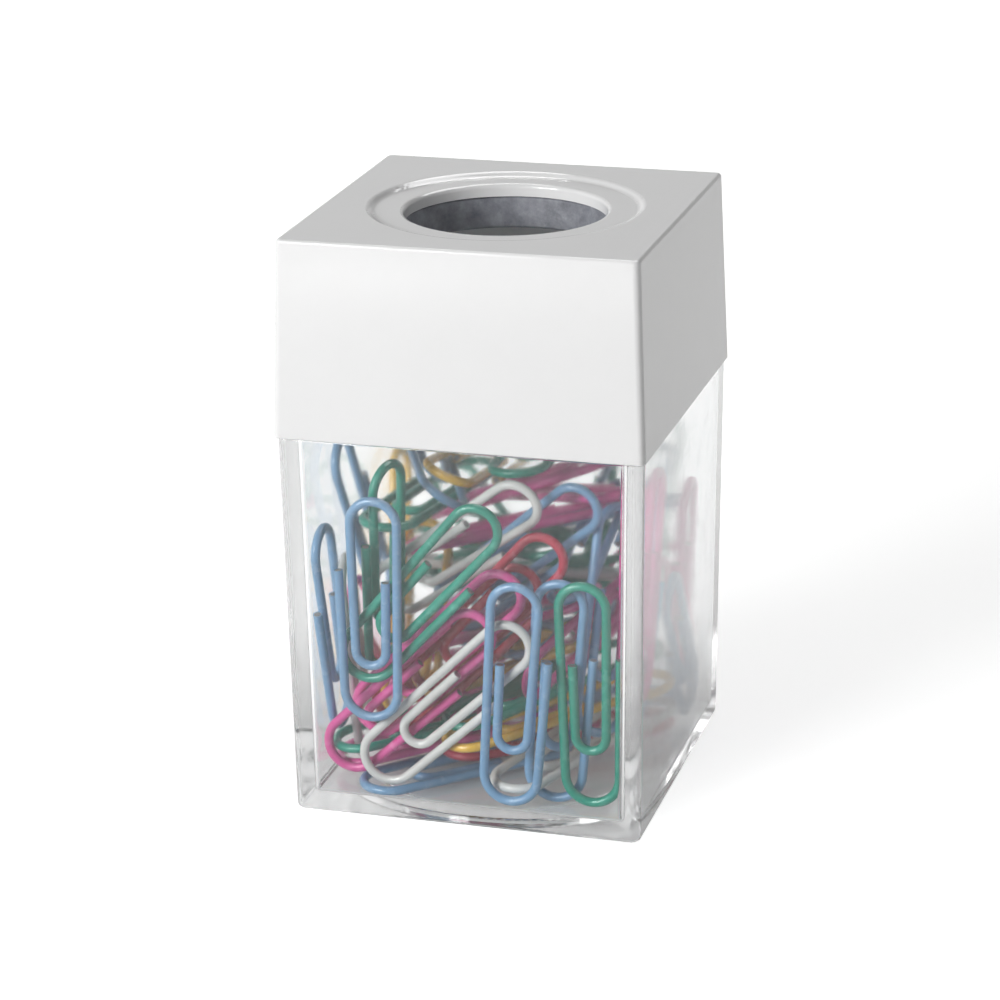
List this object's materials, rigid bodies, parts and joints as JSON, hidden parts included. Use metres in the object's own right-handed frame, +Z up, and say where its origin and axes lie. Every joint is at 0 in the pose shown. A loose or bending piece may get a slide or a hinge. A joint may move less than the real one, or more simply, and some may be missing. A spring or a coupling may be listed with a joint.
{
  "type": "magnetic paper clip holder",
  "caption": "Square desk holder: a clear cup full of coloured paper clips under a white pull-off lid, with a round mouth and a ring magnet below it that holds clips ready.",
  "frame": {"origin": "middle of the underside, on the desk", "axes": "+Z up, front towards -Y, +X to the right seen from the front"},
  "size_m": [0.0438, 0.0438, 0.07],
  "materials": {
    "clear_plastic": "clear moulded polystyrene, polished",
    "white_plastic": "white moulded plastic, glossy",
    "ferrite": "sintered ferrite, ground grey faces",
    "wire_blue": "steel wire with a smooth blue coating",
    "wire_green": "steel wire with a smooth green coating",
    "wire_pink": "steel wire with a smooth pink coating",
    "wire_white": "steel wire with a smooth white coating",
    "wire_red": "steel wire with a smooth red coating",
    "wire_yellow": "steel wire with a smooth yellow coating"
  },
  "bodies": {
    "base": {"base_cup": "clear_plastic", "clip_blue_01": "wire_blue", "clip_blue_02": "wire_blue", "clip_blue_03": "wire_blue", "clip_blue_04": "wire_blue", "clip_blue_05": "wire_blue", "clip_blue_06": "wire_blue", "clip_blue_07": "wire_blue", "clip_blue_08": "wire_blue", "clip_blue_09": "wire_blue", "clip_blue_10": "wire_blue", "clip_green_01": "wire_green", "clip_green_02": "wire_green", "clip_green_03": "wire_green", "clip_green_04": "wire_green", "clip_green_05": "wire_green", "clip_green_06": "wire_green", "clip_green_07": "wire_green", "clip_green_08": "wire_green", "clip_pink_01": "wire_pink", "clip_pink_02": "wire_pink", "clip_pink_03": "wire_pink", "clip_pink_04": "wire_pink", "clip_pink_05": "wire_pink", "clip_pink_06": "wire_pink", "clip_pink_07": "wire_pink", "clip_pink_08": "wire_pink", "clip_pink_09": "wire_pink", "clip_pink_10": "wire_pink", "clip_red_01": "wire_red", "clip_red_02": "wire_red", "clip_red_03": "wire_red", "clip_white_01": "wire_white", "clip_white_02": "wire_white", "clip_white_03": "wire_white", "clip_white_04": "wire_white", "clip_white_05": "wire_white", "clip_yellow_01": "wire_yellow", "clip_yellow_02": "wire_yellow", "clip_yellow_03": "wire_yellow", "clips_inside_blue": "wire_blue", "clips_inside_green": "wire_green", "clips_inside_pink": "wire_pink", "clips_inside_white": "wire_white", "clips_inside_yellow": "wire_yellow"},
    "lid": {"lid_cover": "white_plastic", "ring_magnet": "ferrite"}
  },
  "joints": [
    {"name": "lid_lift", "type": "slide", "parent": "base", "child": "lid", "axis": [0, 0, 1], "range_m": [0, 0.03]}
  ]
}
